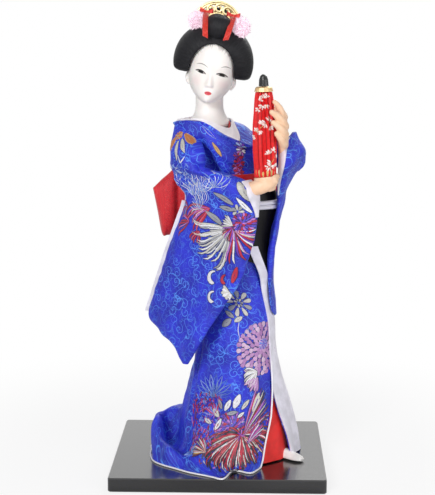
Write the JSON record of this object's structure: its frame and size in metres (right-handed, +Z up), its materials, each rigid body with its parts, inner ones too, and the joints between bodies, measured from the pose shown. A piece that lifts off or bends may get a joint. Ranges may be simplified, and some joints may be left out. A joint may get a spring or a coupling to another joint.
{
  "type": "costume doll on a plinth",
  "caption": "Standing costume doll in a blue brocade robe with trailing hem and hanging sleeves, holding a closed red paper parasol, on a black lacquered plinth.",
  "frame": {"origin": "middle of the plinth's underside", "axes": "+Z up, -Y towards the front of the plinth, +X to the viewer's right"},
  "size_m": [0.136, 0.12, 0.299],
  "materials": {
    "lacquer": "black lacquer, polished",
    "steel": "plain",
    "post_wood": "turned, unfinished",
    "sock_cloth": "white cotton",
    "stuffing": "packed fibre",
    "socket_plastic": "moulded",
    "face_skin": "painted off-white",
    "hand_skin": "painted flesh",
    "hair": "black fibre, set",
    "blue_brocade": "silk brocade with flowers",
    "red_brocade": "silk brocade",
    "white_silk": "plain silk",
    "red_silk": "plain silk",
    "black_satin": "satin",
    "red_paper": "pleated, printed with blossom",
    "gold": "gilt",
    "tulle": "gathered net",
    "black_plastic": "polished",
    "shaft_wood": "varnished"
  },
  "bodies": {
    "doll": {"base_board": "lacquer", "base_screw": "steel", "support_post": "post_wood", "left_foot": "sock_cloth", "right_foot": "sock_cloth", "skirt_stuffing": "stuffing", "under_robe": "red_silk", "robe_skirt": "blue_brocade", "hem_piping": "white_silk", "front_lining": "white_silk", "torso_stuffing": "stuffing", "neck_socket": "socket_plastic", "right_arm": "stuffing", "left_arm": "stuffing", "right_hand": "hand_skin", "left_hand": "hand_skin", "robe_bodice": "blue_brocade", "white_collar": "white_silk", "red_collar": "red_silk", "sash": "black_satin", "sash_cord": "white_silk", "sash_scarf": "red_silk", "bow_knot": "red_brocade", "bow_left_loop": "red_brocade", "bow_right_loop": "red_brocade", "right_sleeve": "blue_brocade", "left_sleeve": "blue_brocade", "right_cuff_lining": "white_silk", "left_cuff_lining": "white_silk"},
    "head": {"head": "face_skin", "hair_cap": "hair", "hair_crest": "hair", "hair_bun": "hair", "comb": "gold", "left_ribbon": "red_silk", "right_ribbon": "red_silk", "left_blossom": "tulle", "right_blossom": "tulle"},
    "parasol": {"parasol_shaft": "shaft_wood", "parasol_paper": "red_paper", "parasol_band": "gold", "parasol_cap": "black_plastic", "parasol_ribs": "shaft_wood"}
  },
  "joints": [
    {"name": "head_turn", "type": "hinge", "parent": "doll", "child": "head", "pos_m": [-0.0065, 0.0025, 0.2225], "axis": [0, 0, 1], "range_deg": [-30, 30]},
    {"name": "parasol_lift", "type": "slide", "parent": "doll", "child": "parasol", "axis": [-0.0244, 0, 0.9997], "range_m": [0, 0.07]}
  ]
}
